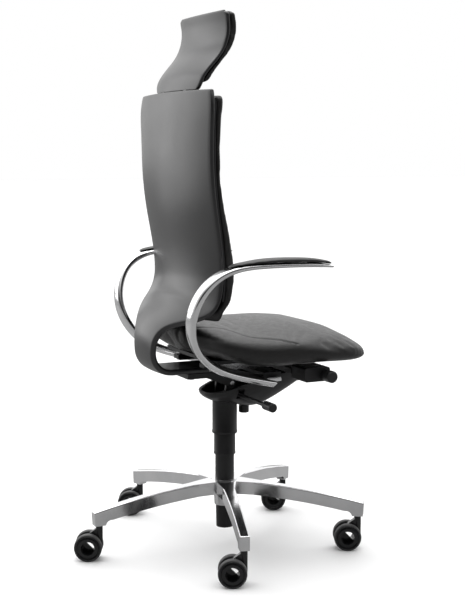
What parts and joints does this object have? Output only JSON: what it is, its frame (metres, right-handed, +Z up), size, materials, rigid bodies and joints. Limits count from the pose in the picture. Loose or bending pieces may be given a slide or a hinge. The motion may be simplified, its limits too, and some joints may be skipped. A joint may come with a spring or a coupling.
{
  "type": "swivel office chair",
  "caption": "High-back swivel chair with headrest: curved shell back on a strap, open loop arms, five-legged star base on ring-wheel casters, gas lift column.",
  "frame": {"origin": "on the floor, on the axis of the gas column", "axes": "+Z up; the sitter faces -Y; +X is the sitter's left"},
  "size_m": [0.6894, 0.672, 1.2691],
  "materials": {
    "polished_aluminium": "polished, bright",
    "black_steel": "satin black powder coat",
    "bright_steel": "ground bright",
    "black_plastic": "fine matt grain",
    "gloss_black_plastic": "gloss black",
    "shell_plastic": "satin, very smooth",
    "bush_plastic": "natural acetal",
    "tread": "soft dark grey tread",
    "leather": "fine-grained black leather over foam"
  },
  "bodies": {
    "base": {"base_star": "polished_aluminium", "column_tube": "black_steel", "guide_bush": "bush_plastic", "thrust_bearing": "bright_steel"},
    "rod": {"piston_rod": "bright_steel", "retaining_clip": "bright_steel"},
    "cover": {"cover_middle": "black_plastic"},
    "mechanism": {"gas_cylinder": "bright_steel", "cover_upper": "black_plastic", "mechanism_housing": "black_steel", "recline_shaft": "bright_steel", "seat_pivot_shaft": "bright_steel", "tilt_spring": "bright_steel"},
    "height_control": {"height_lever": "black_steel", "height_lever_grip": "black_plastic"},
    "tension_control": {"tension_knob": "black_plastic"},
    "back": {"back_shell": "shell_plastic", "back_carrier": "black_steel", "back_screws": "bright_steel", "back_inner_panel": "black_plastic", "back_cushion": "leather", "headrest_guides": "black_plastic"},
    "headrest": {"headrest_shell": "shell_plastic", "headrest_cushion": "leather"},
    "tilt_frame": {"seat_carrier": "black_steel", "control_brackets": "black_plastic", "arm_right": "polished_aluminium", "arm_left": "polished_aluminium", "arm_pad_right": "leather", "arm_pad_left": "leather", "arm_screws": "bright_steel"},
    "seat": {"seat_pan": "black_steel", "slide_rails": "bright_steel", "rail_screws": "bright_steel", "seat_cushion": "leather"},
    "lock_control": {"lock_knob": "black_plastic"},
    "depth_control": {"depth_knob": "black_plastic"},
    "caster_1": {"caster_1_fork": "gloss_black_plastic", "caster_1_stem": "bright_steel"},
    "caster_1_wheel_left": {"caster_1_wheel_left": "tread"},
    "caster_1_wheel_right": {"caster_1_wheel_right": "tread"},
    "caster_2": {"caster_2_fork": "gloss_black_plastic", "caster_2_stem": "bright_steel"},
    "caster_2_wheel_left": {"caster_2_wheel_left": "tread"},
    "caster_2_wheel_right": {"caster_2_wheel_right": "tread"},
    "caster_3": {"caster_3_fork": "gloss_black_plastic", "caster_3_stem": "bright_steel"},
    "caster_3_wheel_left": {"caster_3_wheel_left": "tread"},
    "caster_3_wheel_right": {"caster_3_wheel_right": "tread"},
    "caster_4": {"caster_4_fork": "gloss_black_plastic", "caster_4_stem": "bright_steel"},
    "caster_4_wheel_left": {"caster_4_wheel_left": "tread"},
    "caster_4_wheel_right": {"caster_4_wheel_right": "tread"},
    "caster_5": {"caster_5_fork": "gloss_black_plastic", "caster_5_stem": "bright_steel"},
    "caster_5_wheel_left": {"caster_5_wheel_left": "tread"},
    "caster_5_wheel_right": {"caster_5_wheel_right": "tread"}
  },
  "joints": [
    {"name": "column_swivel", "type": "hinge", "parent": "base", "child": "rod", "pos_m": [0, 0, 0.2], "axis": [0, 0, 1], "continuous": true},
    {"name": "seat_height", "type": "slide", "parent": "rod", "child": "mechanism", "axis": [0, 0, 1], "range_m": [-0.095, 0.01]},
    {"name": "cover_slide", "type": "slide", "parent": "base", "child": "cover", "axis": [0, 0, 1], "range_m": [-0.0475, 0.005]},
    {"name": "height_lever_lift", "type": "hinge", "parent": "mechanism", "child": "height_control", "pos_m": [-0.034, -0.012, 0.3725], "axis": [0, 1, 0], "range_deg": [0, 3], "stiffness_Nm_per_rad": 2},
    {"name": "tension_turn", "type": "hinge", "parent": "mechanism", "child": "tension_control", "pos_m": [0, -0.052, 0.33], "axis": [0, 0, 1], "range_deg": [0, 720]},
    {"name": "back_recline", "type": "hinge", "parent": "mechanism", "child": "back", "pos_m": [0, 0, 0.4], "axis": [-1, 0, 0], "range_deg": [0, 18]},
    {"name": "seat_tilt", "type": "hinge", "parent": "mechanism", "child": "tilt_frame", "pos_m": [0, -0.17, 0.43], "axis": [-1, 0, 0], "range_deg": [0, 7.2]},
    {"name": "headrest_height", "type": "slide", "parent": "back", "child": "headrest", "axis": [0, 0, 1], "range_m": [0, 0.05]},
    {"name": "seat_depth", "type": "slide", "parent": "tilt_frame", "child": "seat", "axis": [0, -1, 0], "range_m": [0, 0.05]},
    {"name": "tilt_lock_turn", "type": "hinge", "parent": "tilt_frame", "child": "lock_control", "pos_m": [-0.22, -0.16, 0.434], "axis": [1, 0, 0], "range_deg": [0, 60]},
    {"name": "depth_lock_turn", "type": "hinge", "parent": "tilt_frame", "child": "depth_control", "pos_m": [0.22, -0.16, 0.434], "axis": [1, 0, 0], "range_deg": [0, 60]},
    {"name": "caster_1_swivel", "type": "hinge", "parent": "base", "child": "caster_1", "pos_m": [0, 0.325, 0.06], "axis": [0, 0, 1], "continuous": true},
    {"name": "caster_1_wheel_left_spin", "type": "hinge", "parent": "caster_1", "child": "caster_1_wheel_left", "pos_m": [0.01076, 0.34756, 0.0325], "axis": [0.9026, -0.4305, 0], "continuous": true},
    {"name": "caster_1_wheel_right_spin", "type": "hinge", "parent": "caster_1", "child": "caster_1_wheel_right", "pos_m": [0.01076, 0.34756, 0.0325], "axis": [0.9026, -0.4305, 0], "continuous": true},
    {"name": "caster_2_swivel", "type": "hinge", "parent": "base", "child": "caster_2", "pos_m": [-0.30909, 0.10043, 0.06], "axis": [0, 0, 1], "continuous": true},
    {"name": "caster_2_wheel_left_spin", "type": "hinge", "parent": "caster_2", "child": "caster_2_wheel_left", "pos_m": [-0.29833, 0.123, 0.0325], "axis": [0.9026, -0.4305, 0], "continuous": true},
    {"name": "caster_2_wheel_right_spin", "type": "hinge", "parent": "caster_2", "child": "caster_2_wheel_right", "pos_m": [-0.29833, 0.123, 0.0325], "axis": [0.9026, -0.4305, 0], "continuous": true},
    {"name": "caster_3_swivel", "type": "hinge", "parent": "base", "child": "caster_3", "pos_m": [-0.19103, -0.26293, 0.06], "axis": [0, 0, 1], "continuous": true},
    {"name": "caster_3_wheel_left_spin", "type": "hinge", "parent": "caster_3", "child": "caster_3_wheel_left", "pos_m": [-0.18027, -0.24037, 0.0325], "axis": [0.9026, -0.4305, 0], "continuous": true},
    {"name": "caster_3_wheel_right_spin", "type": "hinge", "parent": "caster_3", "child": "caster_3_wheel_right", "pos_m": [-0.18027, -0.24037, 0.0325], "axis": [0.9026, -0.4305, 0], "continuous": true},
    {"name": "caster_4_swivel", "type": "hinge", "parent": "base", "child": "caster_4", "pos_m": [0.19103, -0.26293, 0.06], "axis": [0, 0, 1], "continuous": true},
    {"name": "caster_4_wheel_left_spin", "type": "hinge", "parent": "caster_4", "child": "caster_4_wheel_left", "pos_m": [0.20179, -0.24037, 0.0325], "axis": [0.9026, -0.4305, 0], "continuous": true},
    {"name": "caster_4_wheel_right_spin", "type": "hinge", "parent": "caster_4", "child": "caster_4_wheel_right", "pos_m": [0.20179, -0.24037, 0.0325], "axis": [0.9026, -0.4305, 0], "continuous": true},
    {"name": "caster_5_swivel", "type": "hinge", "parent": "base", "child": "caster_5", "pos_m": [0.30909, 0.10043, 0.06], "axis": [0, 0, 1], "continuous": true},
    {"name": "caster_5_wheel_left_spin", "type": "hinge", "parent": "caster_5", "child": "caster_5_wheel_left", "pos_m": [0.31986, 0.123, 0.0325], "axis": [0.9026, -0.4305, 0], "continuous": true},
    {"name": "caster_5_wheel_right_spin", "type": "hinge", "parent": "caster_5", "child": "caster_5_wheel_right", "pos_m": [0.31986, 0.123, 0.0325], "axis": [0.9026, -0.4305, 0], "continuous": true}
  ],
  "couplings": [
    {"joint": "seat_tilt", "follows": "back_recline", "ratio": 0.4},
    {"joint": "cover_slide", "follows": "seat_height", "ratio": 0.5}
  ]
}
